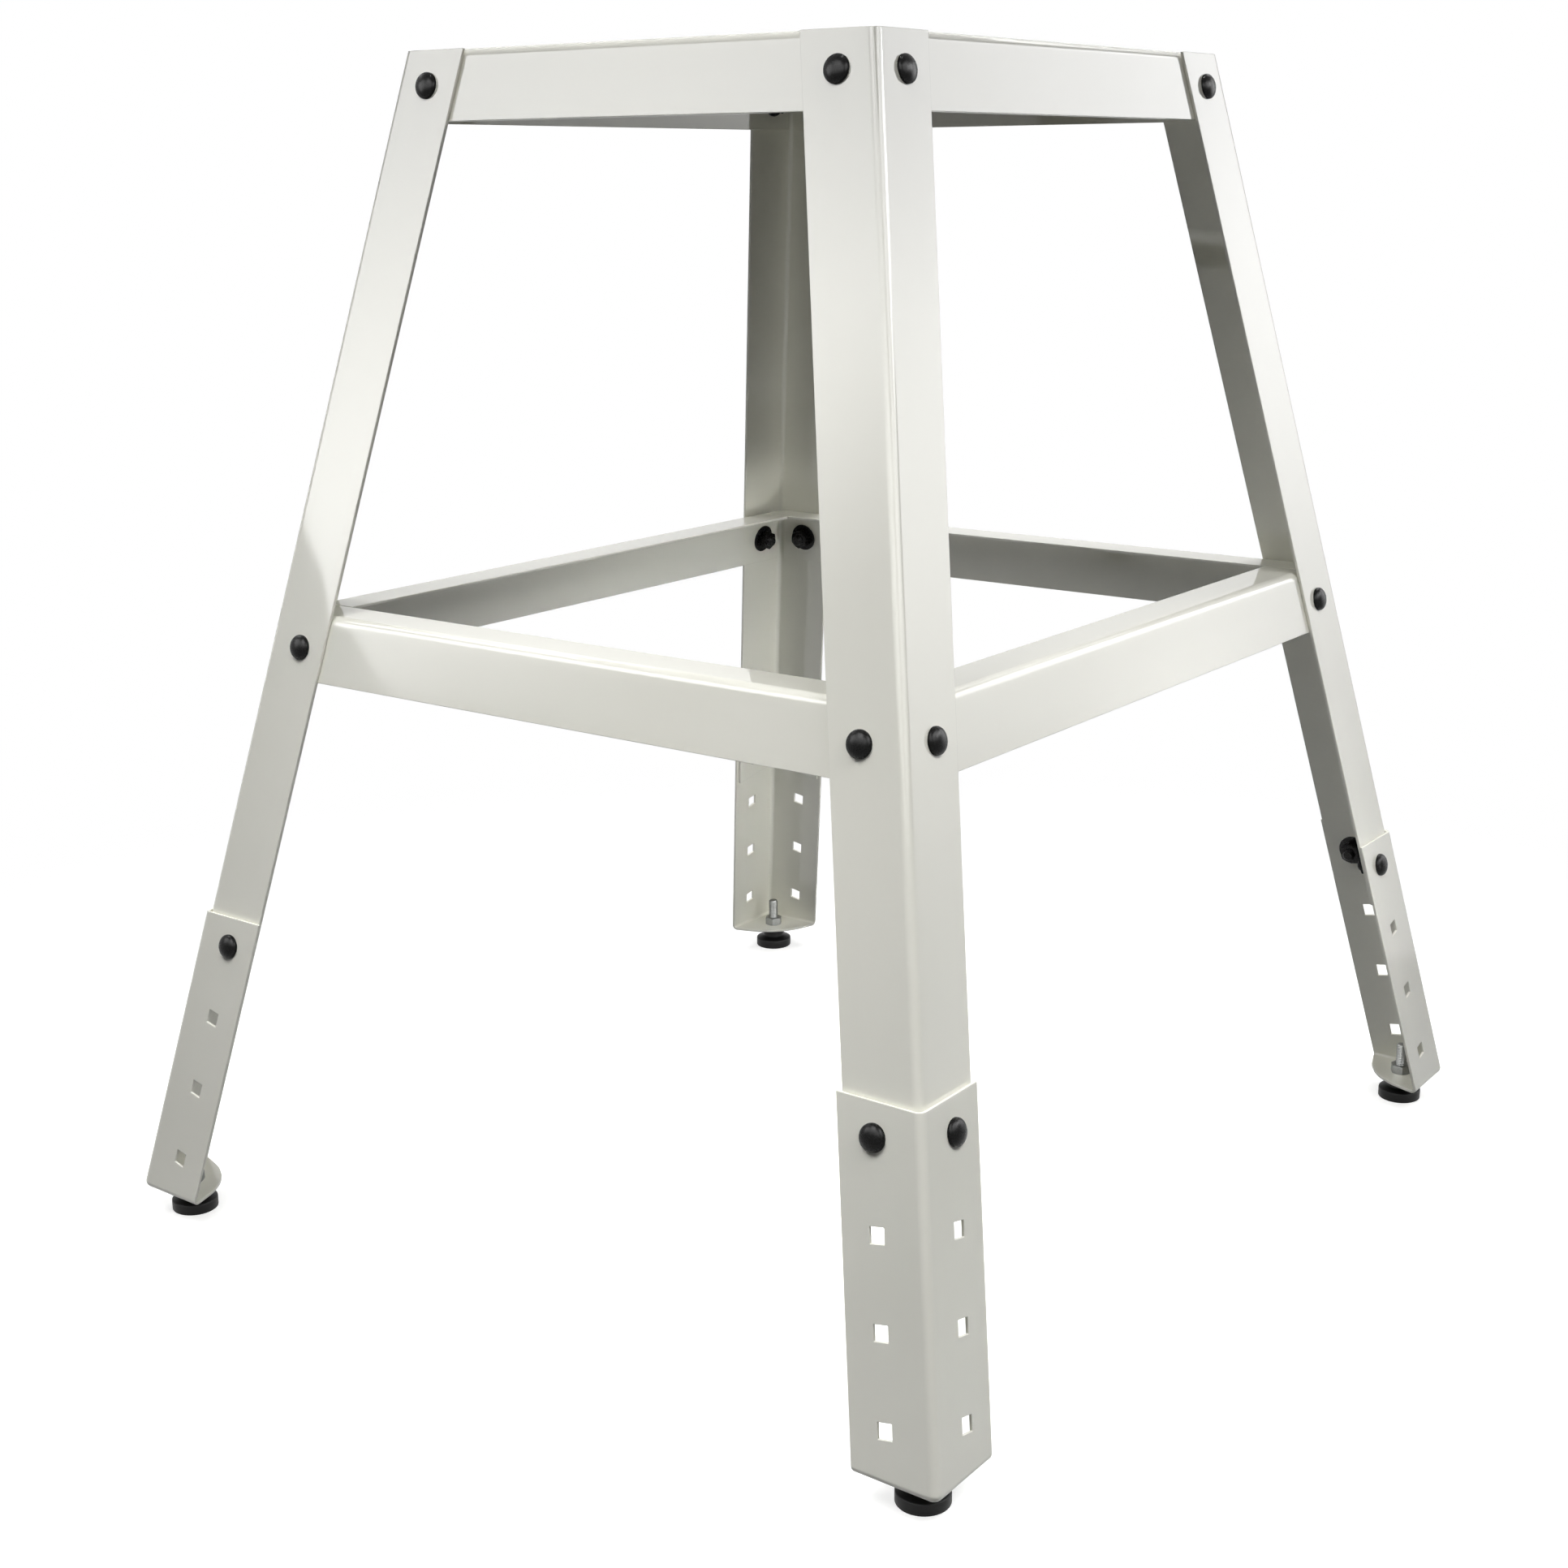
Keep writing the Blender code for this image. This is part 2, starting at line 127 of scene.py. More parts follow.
def corner_at(signs, z, depth=0.0):
    """Point of a leg's corner line at a height; depth is measured square to the outer faces."""
    return np.array((signs[0] * half_span(0, z, depth), signs[1] * half_span(1, z, depth), z))


def leg_axis(signs):
    """Unit vector up a leg: it leans inwards by the tangent of each splay."""
    lean = np.array((-signs[0] * np.tan(SPLAY[0]), -signs[1] * np.tan(SPLAY[1]), 1.0))
    return lean / np.linalg.norm(lean)


def across(signs, axis):
    """Unit vector in a flange, square to the leg: the inward direction less its part along the leg."""
    inward = np.zeros(3)
    inward[axis] = -signs[axis]
    up = leg_axis(signs)
    flat = inward - up * (inward @ up)
    return flat / np.linalg.norm(flat)


def face_normal(face):
    """Outward normal of a leaning face: level outwards by the cosine, upwards by the sine of its splay."""
    flat = np.array((*FACES[face], 0.0))
    splay = SPLAY[0] if flat[0] else SPLAY[1]
    return flat * np.cos(splay) + np.array((0.0, 0.0, np.sin(splay)))


def bolt_place(face, signs, z, inset, depth):
    """Centre of a bolt on a face, and the directions up the leg, sideways in the face and out of it."""
    up, out = leg_axis(signs), face_normal(face)
    start = corner_at(signs, z, depth) + across(signs, 1 if FACES[face][0] else 0) * (inset - depth)
    centre = start + up * ((z - start[2]) / up[2])
    return centre, up, np.cross(out, up), out


print("a leg leans", round(float(np.degrees(np.arccos(leg_axis((1, 1))[2]))), 2), "degrees from upright")

# %% [markdown]
# ## The camera
# The photograph was taken from a little below the top, off the front right corner. A camera was fitted to
# the edges, bolts and holes that it shows, so its place, lens and turn are plain numbers here.

# %% Camera at the photograph's viewpoint
CAMERA_PLACE = (0.8390, -1.1723, 0.6639)
CAMERA_AZIMUTH, CAMERA_DOWN, CAMERA_ROLL = np.radians((36.767, 15.392, -0.4245))
PHOTO_WIDTH, FOCAL_PIXELS, SENSOR = 1932, 2727.62, 36.0

camera_data = bpy.data.cameras.new("photo_camera")
camera_data.sensor_width = SENSOR
camera_data.lens = SENSOR * FOCAL_PIXELS / PHOTO_WIDTH
camera = bpy.data.objects.new("photo_camera", camera_data)
bpy.context.scene.collection.objects.link(camera)
turn = Matrix.Rotation(CAMERA_AZIMUTH, 4, "Z") @ Matrix.Rotation(math.pi / 2 - CAMERA_DOWN, 4, "X")
camera.matrix_world = Matrix.Translation(CAMERA_PLACE) @ turn @ Matrix.Rotation(CAMERA_ROLL, 4, "Z")
bpy.context.scene.camera = camera
print("lens", round(camera_data.lens, 2), "mm")

# %% [markdown]
# ## Colours and nodes
# A colour is easiest to choose as the hex value that the screen shows. Shaders work in linear light, so
# one function turns hex into linear. Another adds a node, sets its properties and fills its sockets with
# a value or a link.

# %% Helpers for materials


def linear(text):
    """Hex colour to linear light: a straight line near black, and a power of 2.4 above it."""
    screen = np.array([int(text[k:k + 2], 16) for k in (1, 3, 5)]) / 255
    light = np.where(screen <= 0.04045, screen / 12.92, ((screen + 0.055) / 1.055) ** 2.4)
    return (*light.tolist(), 1.0)


def add(tree, kind, sockets=(), **settings):
    """Add one node. Sockets are pairs of a name or number and a value or link; settings are properties."""
    node = tree.nodes.new(kind)
    for name, value in settings.items():
        setattr(node, name, value)
    for name, value in sockets:
        if isinstance(value, bpy.types.NodeSocket):
            tree.links.new(value, node.inputs[name])
        else:
            node.inputs[name].default_value = value
    return node


def per_metre(size_mm):
    """Texture scale whose features are about the given size in millimetres."""
    return 1.0 / (size_mm * MM)


def blank(name):
    """New material with an empty shader and its output, ready for nodes."""
    material = bpy.data.materials.new(name)
    material.use_nodes = True
    tree = material.node_tree
    return material, tree, tree.nodes["Principled BSDF"]


FINISHES = {}

# %% [markdown]
# ## Powder coat
# The sheets wear a warm white polyester powder coat, baked on. It is glossy, but it never levels out like
# glass: a low ripple, called orange peel, a few millimetres wide, breaks up its reflections. A broad
# noise shifts the white by a hair, as coats of uneven thickness do, and another one makes some stretches
# slightly duller.

# %% Warm white powder coat
PEEL_MM, PEEL_HEIGHT_MM = 3.2, 0.004
COAT_PATCH_MM, GLOSS_PATCH_MM = 140.0, 60.0

coat, tree, shader = blank("warm white powder coat")
place = add(tree, "ShaderNodeTexCoord").outputs["Object"]
patches = add(tree, "ShaderNodeTexNoise", [("Vector", place), ("Scale", per_metre(COAT_PATCH_MM)),
                                           ("Detail", 3.0)])
white = add(tree, "ShaderNodeMix", [("Factor", patches.outputs["Fac"]), ("A", linear("#E8E7DC")),
                                    ("B", linear("#F0EFE5"))], data_type="RGBA")
tree.links.new(white.outputs["Result"], shader.inputs["Base Color"])
dulling = add(tree, "ShaderNodeTexNoise", [("Vector", place), ("Scale", per_metre(GLOSS_PATCH_MM)),
                                           ("Detail", 4.0)])
gloss = add(tree, "ShaderNodeMapRange", [("Value", dulling.outputs["Fac"]), ("To Min", 0.03),
                                         ("To Max", 0.07)])
tree.links.new(gloss.outputs["Result"], shader.inputs["Roughness"])
peel = add(tree, "ShaderNodeTexNoise", [("Vector", place), ("Scale", per_metre(PEEL_MM)),
                                        ("Detail", 1.0)])
ripple = add(tree, "ShaderNodeBump", [("Height", peel.outputs["Fac"]), ("Strength", 0.5),
                                      ("Distance", PEEL_HEIGHT_MM * MM)])
tree.links.new(ripple.outputs["Normal"], shader.inputs["Normal"])
shader.inputs["IOR"].default_value = 1.5
FINISHES["powder_coat"] = coat
print("made", coat.name)

# %% [markdown]
# ## Black bolts
# The carriage bolts, washers and nuts are steel with a black plated skin under a thin sealer. The sealer
# is what shines, so the shader is a dark, smooth surface and no bare metal. Fine scuffs from tumbling in
# the plating drum raise the roughness in places.

# %% Black plated steel
SCUFF_MM = 1.1

black, tree, shader = blank("black plated steel")
place = add(tree, "ShaderNodeTexCoord").outputs["Object"]
scuffs = add(tree, "ShaderNodeTexNoise", [("Vector", place), ("Scale", per_metre(SCUFF_MM)),
                                          ("Detail", 5.0)])
skin = add(tree, "ShaderNodeMix", [("Factor", scuffs.outputs["Fac"]), ("A", linear("#060606")),
                                   ("B", linear("#131312"))], data_type="RGBA")
tree.links.new(skin.outputs["Result"], shader.inputs["Base Color"])
shine = add(tree, "ShaderNodeMapRange", [("Value", scuffs.outputs["Fac"]), ("To Min", 0.18),
                                         ("To Max", 0.36)])
tree.links.new(shine.outputs["Result"], shader.inputs["Roughness"])
shader.inputs["IOR"].default_value = 1.55
shader.inputs["Specular IOR Level"].default_value = 0.1
FINISHES["black_hardware"] = black
print("made", black.name)

# %% [markdown]
# ## Zinc plate
# The studs and the nuts on the foot tabs are steel, plated with bright zinc that has dulled a little: a
# grey metal with a crystal mottle of about a millimetre. Colour and roughness follow the same mottle, as
# they do on the real plate.

# %% Bright zinc plate
MOTTLE_MM = 0.9

zinc, tree, shader = blank("bright zinc plate")
place = add(tree, "ShaderNodeTexCoord").outputs["Object"]
mottle = add(tree, "ShaderNodeTexNoise", [("Vector", place), ("Scale", per_metre(MOTTLE_MM)),
                                          ("Detail", 3.0)])
plate = add(tree, "ShaderNodeMix", [("Factor", mottle.outputs["Fac"]), ("A", linear("#777978")),
                                    ("B", linear("#9A9B98"))], data_type="RGBA")
tree.links.new(plate.outputs["Result"], shader.inputs["Base Color"])
sheen = add(tree, "ShaderNodeMapRange", [("Value", mottle.outputs["Fac"]), ("To Min", 0.28),
                                         ("To Max", 0.46)])
tree.links.new(sheen.outputs["Result"], shader.inputs["Roughness"])
shader.inputs["Metallic"].default_value = 1.0
FINISHES["zinc"] = zinc
print("made", zinc.name)

# %% [markdown]
# ## Foot plastic
# The foot pads are moulded in black polypropylene. The mould was spark eroded, which leaves an even, fine
# grain: a half matt black with a soft highlight. The grain is drawn at half a millimetre, coarser than
# life, so that it shows.

# %% Black moulded plastic
GRAIN_MM, GRAIN_HEIGHT_MM = 0.5, 0.02

plastic, tree, shader = blank("black moulded polypropylene")
place = add(tree, "ShaderNodeTexCoord").outputs["Object"]
grain = add(tree, "ShaderNodeTexNoise", [("Vector", place), ("Scale", per_metre(GRAIN_MM)),
                                         ("Detail", 2.0)])
moulded = add(tree, "ShaderNodeMix", [("Factor", grain.outputs["Fac"]), ("A", linear("#060606")),
                                      ("B", linear("#101010"))], data_type="RGBA")
tree.links.new(moulded.outputs["Result"], shader.inputs["Base Color"])
pits = add(tree, "ShaderNodeBump", [("Height", grain.outputs["Fac"]), ("Strength", 0.6),
                                    ("Distance", GRAIN_HEIGHT_MM * MM)])
tree.links.new(pits.outputs["Normal"], shader.inputs["Normal"])
shader.inputs["Roughness"].default_value = 0.46
shader.inputs["IOR"].default_value = 1.49
shader.inputs["Specular IOR Level"].default_value = 0.2
FINISHES["black_plastic"] = plastic
print("made", plastic.name)

# %% [markdown]
# ## Bent sheets as grids
# Every painted piece is one sheet of steel, folded. Its outer side is a grid of points: columns follow
# the folded section and rows run along the length. A fold is an arc between two straight runs. A hole is
# a block of cells left out, with the block's border moved on to the hole's outline. Solidify then gives
# the sheet its wall, and a small bevel rounds the cut edges as the coat does. A boolean would cut holes
# too, but it leaves a less even mesh.

# %% Folds
BEND_STEPS = 12


def fold(corner, first, second, reach, steps=BEND_STEPS):
    """Arc between two unit directions from a corner: it leaves each of them at the same reach, so its
    centre lies on their bisector, and its points turn evenly from the one end to the other."""
    half = np.arccos(np.clip((first * second).sum(axis=-1, keepdims=True), -1, 1)) / 2
    bisector = (first + second) / (2 * np.cos(half))
    centre = corner + bisector * reach / np.cos(half)
    start, end = corner + first * reach - centre, corner + second * reach - centre
    sweep = np.pi - 2 * half
    share = np.linspace(0, 1, steps + 1).reshape(-1, *([1] * np.ndim(corner)))
    return centre + (start * np.sin((1 - share) * sweep) + end * np.sin(share * sweep)) / np.sin(sweep)


print("a fold has", BEND_STEPS, "flats")

# %% Holes in a grid


def open_hole(points, keep, rows, cols, snap):
    """Leave out the cells between two rows and two columns, and snap that block's border to an outline."""
    (r0, r1), (c0, c1) = rows, cols
    keep[r0:r1, c0:c1] = False
    down, along = np.arange(r0, r1), np.arange(c0, c1)
    row = np.concatenate((np.full(len(along), r0), down, np.full(len(along), r1), down + 1))
    col = np.concatenate((along, np.full(len(down), c1), along + 1, np.full(len(down), c0)))
    points[row, col] = snap(points[row, col])


def square_outline(centre, up, side, width):
    """Snap for a square hole: a border point goes to the corner on its side of both middle lines."""
    def snap(border):
        away = border - centre
        return centre + (np.sign(away @ up)[:, None] * up + np.sign(away @ side)[:, None] * side) * width / 2
    return snap


def slot_outline(centre, along, core, radius):
    """Snap for a round or long hole: points go out from the nearest point of a core line by the radius."""
    def snap(border):
        near = centre + np.clip((border - centre) @ along, -core, core)[:, None] * along
        away = border - near
        return near + away / np.linalg.norm(away, axis=1, keepdims=True) * radius
    return snap


# %% From a grid to a sheet of steel
EDGE_ROUND = 0.45 * MM
EDGE_ANGLE = math.radians(50)


def sheet_mesh(name, points, keep, outside):
    """Quads of the kept cells, turned so that the first one faces outwards."""
    index = np.arange(points.shape[0] * points.shape[1]).reshape(points.shape[:2])
    quads = np.stack((index[:-1, :-1], index[:-1, 1:], index[1:, 1:], index[1:, :-1]), axis=-1)[keep]
    flat = points.reshape(-1, 3)
    normal = np.cross(flat[quads[0, 1]] - flat[quads[0, 0]], flat[quads[0, 3]] - flat[quads[0, 0]])
    quads = quads if normal @ outside > 0 else quads[:, ::-1]
    used, faces = np.unique(quads, return_inverse=True)
    mesh = bpy.data.meshes.new(name)
    mesh.from_pydata(flat[used].tolist(), [], faces.reshape(-1, 4).tolist())
    mesh.shade_smooth()
    return mesh


def dress_sheet(node, points, keep, outside):
    """Piece of bent sheet: wall to the inside, rounded cut edges, and shading that keeps flat faces flat."""
    piece = dress("bent", node, sheet_mesh(node + "_sheet", points, keep, outside), FINISHES)
    wall = piece.modifiers.new("wall", "SOLIDIFY")
    wall.thickness = SHEET
    wall.offset = -1.0
    wall.use_even_offset = True
    edges = piece.modifiers.new("edges", "BEVEL")
    edges.width = EDGE_ROUND
    edges.segments = 2
    edges.limit_method = "ANGLE"
    edges.angle_limit = EDGE_ANGLE
    edges.use_clamp_overlap = False
    shading = piece.modifiers.new("shading", "WEIGHTED_NORMAL")
    shading.keep_sharp = True
    print(piece.name, "differs from its solid by", misfit(piece, node), "mm")


print("cut edges are rounded by", round(EDGE_ROUND / MM, 2), "mm")

# %% [markdown]
# ## Legs
# A leg is a bent angle, level at the top, where the saw's base sits, and cut square at the bottom. Square
# holes take the square necks of the carriage bolts, so they are turned with the leg. The section is the
# same all the way, so each row is the section moved along the leg; only the top row is moved further,
# column by column, to lie level.

# %% Section and holes of an angle
BOLT_LEVELS = {
    "top": (RAIL_TOPS["top"] - RAIL_WEB / 2, TOP_BOLT_INSET, 0.0),
    "lower": (RAIL_TOPS["lower"] - RAIL_WEB / 2, BOLT_INSET, 0.0),
    "extension": (EXTENSION_BOLT_Z, BOLT_INSET, OUTSIDE),
}


def angle_section(signs, stops):
    """Section of an angle, square to its length: stops of one flange, the bend, stops of the other."""
    one, other = across(signs, 0), across(signs, 1)
    flats = np.array(stops)[:, None]
    return np.vstack((flats[::-1] * one, fold(np.zeros(3), one, other, BEND), flats * other))


def level_rows(section, up, start, z):
    """How far along the leg each point of a section has to go from the start to reach height z."""
    return (z - start[2] - section[:, 2]) / up[2]


def flange_columns(section, first, last):
    """Column pairs of the two flanges between two stops counted from the bend."""
    middle = (len(section) - BEND_STEPS - 1) // 2
    after = middle + BEND_STEPS + 1
    return (middle - 1 - last, middle - 1 - first), (after + first, after + last)


def hole_rows(holes, start, up):
    """Places along a leg of the upper and lower edge of each hole in one flange."""
    drops = np.array([(hole[0] - start) @ up for hole in holes])
    return (drops[:, None] + np.array((HOLE, -HOLE)) / 2).ravel()


def open_square_holes(points, section, holes, start, up):
    """Open the square holes of both flanges, sunk to the flange's face, and return the cells that stay."""
    keep = np.ones((len(points) - 1, len(section) - 1), bool)
    for columns, side_holes in zip(flange_columns(section, 0, 1), holes):
        for k, (centre, _, side, out) in enumerate(side_holes):
            sunk = centre + out * ((start - centre) @ out)
            outline = square_outline(sunk, up, side, HOLE)
            open_hole(points, keep, (1 + 2 * k, 2 + 2 * k), columns, outline)
    return keep


print("bolts sit", {level: round(spot[0] / MM, 1) for level, spot in BOLT_LEVELS.items()}, "mm up")

# %% Angle legs
LEG_TAIL = 22.0 * MM


def make_leg(name, signs):
    """Grid of section points moved along the leg, with three square holes in each flange."""
    up = leg_axis(signs)
    start = corner_at(signs, HEIGHT)
    section = angle_section(signs, (BOLT_INSET - HOLE / 2, BOLT_INSET + HOLE / 2, LEG_FLANGE))
    faces = name.split("_")
    holes = [[bolt_place(face, signs, *place) for place in BOLT_LEVELS.values()] for face in faces]
    rows = hole_rows(holes[0], start, up)
    rows = np.append(rows, rows[-1] + HOLE / 2 - LEG_TAIL)
    along = np.repeat(rows[:, None], len(section), axis=1)
    along = np.vstack((level_rows(section, up, start, HEIGHT), along))
    points = start + section + along[:, :, None] * up
    keep = open_square_holes(points, section, holes, start, up)
    dress_sheet("leg_" + name, points, keep, face_normal(faces[0]))


for corner_name, corner_signs in CORNERS.items():
    make_leg(corner_name, corner_signs)

# %% [markdown]
# ## Leg extensions
# An extension wraps the outside of a leg and carries four square holes, so the stand can be set at
# several heights. At the bottom both flanges fold inwards into one level tab with a round front, which
# takes the foot. The grid simply runs on: down the flange, round the fold, and over the tab to its front
# edge. Columns that start at the corner fan out over the tab, and the block in their middle opens for the
# stud.

# %% Plan of the foot tab
TAB_BOTTOM = 17.0 * MM
TAB_RADIUS = 52.0 * MM
TAB_FOLD, TAB_CORNER = 4.5 * MM, 2.5 * MM
TAB_TIP, TAB_FAN = math.radians(14), math.radians(7)
FOOT_INSET = 24.0 * MM


def foot_point(signs, z):
    """Point of a foot's axis at height z: the tab's outer corner, moved inwards both ways by the inset."""
    return np.append(corner_at(signs, TAB_BOTTOM, OUTSIDE)[:2] - np.array(signs) * FOOT_INSET, z)


def tab_borders(signs, section, bottom):
    """Plan of the tab: where its flat part begins, and its front edge, one point for each column.

    The flat begins a fold's reach inside the two flanges, with a small round corner. The front edge is an
    arc about the outer corner. Columns of the flanges share the arc's two ends, and those of the bend share
    its middle."""
    outside = corner_at(signs, TAB_BOTTOM, OUTSIDE)
    plan = np.abs(bottom[:, :2] - outside[:2])
    flats = (len(section) - BEND_STEPS - 1) // 2
    reach = plan[:flats, 0]
    share = (reach[0] - reach) / (reach[0] - BEND)
    begin = TAB_FOLD + TAB_CORNER
    side = np.column_stack((reach[0] + share * (begin - reach[0]), np.full(flats, TAB_FOLD)))
    round_corner = fold(np.full(2, TAB_FOLD), *np.eye(2), TAB_CORNER)
    inner = np.vstack((side, round_corner, side[::-1, ::-1]))
    first = TAB_TIP + share * (math.pi / 4 - TAB_FAN - TAB_TIP)
    middle = np.linspace(math.pi / 4 - TAB_FAN, math.pi / 4 + TAB_FAN, BEND_STEPS + 1)
    angle = np.concatenate((first, middle, math.pi / 2 - first[::-1]))
    front = TAB_RADIUS * np.column_stack((np.cos(angle), np.sin(angle)))
    flip = -np.array(signs)
    lift = np.full((len(section), 1), TAB_BOTTOM)
    return [np.hstack((outside[:2] + flip * edge, lift)) for edge in (inner, front)]


print("feet stand", np.round(foot_point((1, 1), 0.0)[:2] / MM, 1), "mm from the middle")

# %% Extensions with their foot tabs
EXTENSION_FLANGE = 52.0 * MM
EXTENSION_HEAD = 18.4 * MM
HOLE_PITCH, HOLE_COUNT = 50.0 * MM, 4
STUD_HOLE, HOLE_ROWS = 8.6 * MM, 4
FOLD_STEPS = 8


def make_extension(name, signs):
    """Grid down the flanges, round the bottom fold and over the tab, with all of the sheet's holes."""
    up = leg_axis(signs)
    start = corner_at(signs, EXTENSION_BOLT_Z, OUTSIDE)
    inset = BOLT_INSET - OUTSIDE
    section = angle_section(signs, (inset - HOLE / 2, inset + HOLE / 2, EXTENSION_FLANGE))
    faces = name.split("_")
    levels = EXTENSION_BOLT_Z - HOLE_PITCH * up[2] * np.arange(HOLE_COUNT)
    holes = [[bolt_place(face, signs, z, BOLT_INSET, OUTSIDE) for z in levels] for face in faces]
    along = np.repeat(hole_rows(holes[0], start, up)[:, None], len(section), axis=1)
    along = np.vstack((level_rows(section, up, start, EXTENSION_BOLT_Z + EXTENSION_HEAD), along))
    flanges = start + section + along[:, :, None] * up
    bottom = start + section + level_rows(section, up, start, TAB_BOTTOM)[:, None] * up
    inner, front = tab_borders(signs, section, bottom)
    reach = np.linalg.norm(inner - bottom, axis=1, keepdims=True)
    bent = fold(bottom, np.tile(up, (len(section), 1)), (inner - bottom) / reach, reach, FOLD_STEPS)
    centre = foot_point(signs, TAB_BOTTOM)
    middle = len(section) // 2
    run = np.linalg.norm(front[middle] - inner[middle])
    to_centre = np.linalg.norm(centre - inner[middle])
    around = (to_centre + np.linspace(-1, 1, HOLE_ROWS + 1) * STUD_HOLE / 2) / run
    share = np.concatenate(((around[0] / 2,), around, ((1 + around[-1]) / 2, 1.0)))[:, None, None]
    points = np.concatenate((flanges, bent, inner + share * (front - inner)))
    keep = open_square_holes(points, section, holes, start, up)
    stud_row = len(flanges) + len(bent) + 1
    fan = (middle - BEND_STEPS // 2, middle + BEND_STEPS // 2)
    round_hole = slot_outline(centre, np.array((1.0, 0.0, 0.0)), 0.0, STUD_HOLE / 2)
    open_hole(points, keep, (stud_row, stud_row + HOLE_ROWS), fan, round_hole)
    dress_sheet("leg_extension_" + name, points, keep, face_normal(faces[0]))


for corner_name, corner_signs in CORNERS.items():
    make_extension(corner_name, corner_signs)

# %% [markdown]
# ## Rails
# A rail has a web that lies inside the legs' flanges and leans with them, and a level flange turned
# inwards along its top. Its ends follow the legs, so each end row is sloped: its place along the rail
# depends on the height of each column. On the left and right rails the level flange stops short of the
# front and rear ones. The saw is bolted through two slots in each of the top side rails.

# %% Section of a rail
RAIL_FLANGE = 30.0 * MM
HOLE_MARGIN = 5.5 * MM
NOTCH_DEPTH = BEND + SHEET
SLOT_WIDTH, SLOT_COLUMNS = 9.0 * MM, 4


def rail_section(face, level):
    """Section of a rail, outer side: up the web, round the bend and inwards along the flange, with its
    points at the middle of the rail's length."""
    axis = 0 if FACES[face][0] else 1
    outward = np.array((*FACES[face], 0.0))
    corner = outward * half_span(axis, RAIL_TOPS[level], INSIDE) + np.array((0.0, 0.0, RAIL_TOPS[level]))
    down = outward * np.sin(SPLAY[axis]) - np.array((0.0, 0.0, np.cos(SPLAY[axis])))
    web = np.array((RAIL_WEB, RAIL_WEB / 2 + HOLE_MARGIN, RAIL_WEB / 2 - HOLE_MARGIN, NOTCH_DEPTH))
    slot = (RAIL_FLANGE + BEND) / 2 + np.linspace(-1, 1, SLOT_COLUMNS + 1) * SLOT_WIDTH / 2
    flange = np.append(slot, RAIL_FLANGE)
    return np.vstack((corner + web[:, None] / np.cos(SPLAY[axis]) * down, fold(corner, down, -outward, BEND),
                      corner - flange[:, None] * outward))


print("a rail's section has", len(rail_section("front", "top")), "points")

# %% Rails of both rings
RAIL_END_INSET = 8.0 * MM
SIDE_FLANGE_GAP = 0.6 * MM
NOTCH_COLUMN = 3
SLOT_LENGTH, SLOT_END, SLOT_ROWS = 30.0 * MM, 90.0 * MM, 5


def make_rail(level, face):
    """Grid of the section moved along the rail. Rows near the ends follow the lean of the legs."""
    axis = 0 if FACES[face][0] else 1
    side_rail = axis == 0
    run = np.zeros(3)
    run[1 - axis] = 1.0
    section = rail_section(face, level)
    end = half_span(1 - axis, section[:, 2])
    top_end = half_span(1 - axis, RAIL_TOPS[level])
    stop = half_span(1, RAIL_TOPS[level], INSIDE) - RAIL_FLANGE - SIDE_FLANGE_GAP
    inset = TOP_BOLT_INSET if level == "top" else BOLT_INSET
    bolt_rows = np.array((RAIL_END_INSET, inset - HOLE_MARGIN, inset + HOLE_MARGIN))
    slot = SLOT_LENGTH / 2 - np.array((0.0, 0.25, 0.5)) * SLOT_WIDTH
    slot_rows = top_end - SLOT_END + np.concatenate((slot, -slot[::-1]))
    sloped = end[None, :] - bolt_rows[:, None]
    if side_rail:
        sloped[-1, NOTCH_COLUMN:] = stop
    level_places = slot_rows if side_rail else np.array((top_end / 2,))
    half = np.vstack((sloped, np.repeat(level_places[:, None], len(section), axis=1)))
    points = section + np.concatenate((half, -half[::-1]))[:, :, None] * run
    keep = np.ones((len(points) - 1, len(section) - 1), bool)
    last = len(points) - 1
    for name, signs in CORNERS.items():
        if face not in name.split("_"):
            continue
        centre, up, side, out = bolt_place(face, signs, *BOLT_LEVELS[level])
        rows = (1, 2) if signs[1 - axis] > 0 else (last - 2, last - 1)
        sunk = centre + out * ((section[0] - centre) @ out)
        open_hole(points, keep, rows, (1, 2), square_outline(sunk, up, side, HOLE))
    if side_rail:
        notch = len(bolt_rows) - 1
        keep[:notch, NOTCH_COLUMN:] = False
        keep[-notch:, NOTCH_COLUMN:] = False
    if side_rail and level == "top":
        after = len(section) - 2
        columns = (after - SLOT_COLUMNS, after)
        for sign, first in ((1, notch + 1), (-1, last - notch - 1 - SLOT_ROWS)):
            centre = section[after - SLOT_COLUMNS // 2] + sign * (top_end - SLOT_END) * run
            outline = slot_outline(centre, run, (SLOT_LENGTH - SLOT_WIDTH) / 2, SLOT_WIDTH / 2)
            open_hole(points, keep, (first, first + SLOT_ROWS), columns, outline)
    dress_sheet(f"{level}_rail_{face}", points, keep, face_normal(face))


for rail_level in RAIL_TOPS:
    for rail_face in FACES:
        make_rail(rail_level, rail_face)

# %% [markdown]
# ## Round pieces as wrapped grids
# Bolts, nuts, studs and pads are all turned about an axis. Their surface is a grid too: rows follow the
# profile and columns go round the axis. Where the radius also depends on the direction, the same grid
# gives a square neck, a hexagon or a thread. Both ends are closed by one flat face.

# %% Rings of points and their faces
RING = 48
ANGLE = np.arange(RING) * 2 * np.pi / RING
SHARP_ANGLE = math.radians(32)


